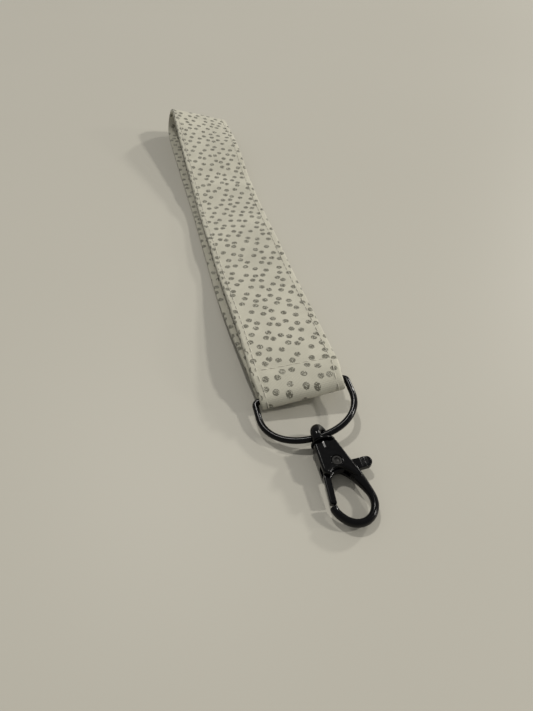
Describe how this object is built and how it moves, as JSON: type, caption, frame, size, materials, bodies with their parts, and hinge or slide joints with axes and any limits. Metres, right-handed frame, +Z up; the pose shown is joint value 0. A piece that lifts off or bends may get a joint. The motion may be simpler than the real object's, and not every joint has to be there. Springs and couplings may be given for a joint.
{
  "type": "wristlet_keychain",
  "caption": "Cotton wristlet strap with a dotted print, looped through a black D-ring that carries a black swivel lobster clasp with a thumb trigger.",
  "frame": {"origin": "On the strap's underside where it lies flat on the table, halfway along the strap", "axes": "+Z up from the table; +Y along the strap to its far fold; -Y towards the clasp; +X across, on the side of the thumb tab"},
  "size_m": [0.0301, 0.2281, 0.0138],
  "materials": {
    "cotton_print": "matte woven cotton, off-white, with silver glitter dots",
    "core_webbing": "white cotton webbing, hidden inside",
    "sewing_thread": "off-white polyester thread",
    "black_coat": "glossy black coat over die-cast and drawn metal",
    "dark_steel": "dark blackened steel"
  },
  "bodies": {
    "strap": {"fabric_cover": "cotton_print", "strap_core": "core_webbing", "edge_needle_thread_left": "sewing_thread", "edge_needle_thread_right": "sewing_thread", "edge_bobbin_thread_left": "sewing_thread", "edge_bobbin_thread_right": "sewing_thread", "seam_needle_thread": "sewing_thread", "seam_bobbin_thread": "sewing_thread"},
    "ring": {"d_ring": "black_coat"},
    "eye": {"swivel_eye": "black_coat"},
    "clasp": {"clasp_body": "black_coat", "trigger_rivet": "dark_steel", "trigger_spring": "dark_steel"},
    "trigger": {"trigger_lever": "black_coat"}
  },
  "joints": [
    {"name": "ring_swing", "type": "hinge", "parent": "strap", "child": "ring", "pos_m": [0.0001, -0.0898, 0.00488], "axis": [0.9903, 0, 0.1392], "range_deg": [-80, 80]},
    {"name": "clasp_tilt", "type": "hinge", "parent": "ring", "child": "eye", "pos_m": [0.00114, -0.10524, 0.00366], "axis": [0.9903, 0, 0.1392], "range_deg": [-70, 70]},
    {"name": "clasp_swivel", "type": "hinge", "parent": "eye", "child": "clasp", "pos_m": [0.00114, -0.10524, 0.00366], "axis": [0, -0.9984, -0.0558], "continuous": true},
    {"name": "trigger_pull", "type": "hinge", "parent": "clasp", "child": "trigger", "pos_m": [0.00239, -0.11393, 0.00306], "axis": [0, -0.0558, 0.9984], "range_deg": [0, 28], "stiffness_Nm_per_rad": 0.01, "springref_deg": -20.05}
  ]
}
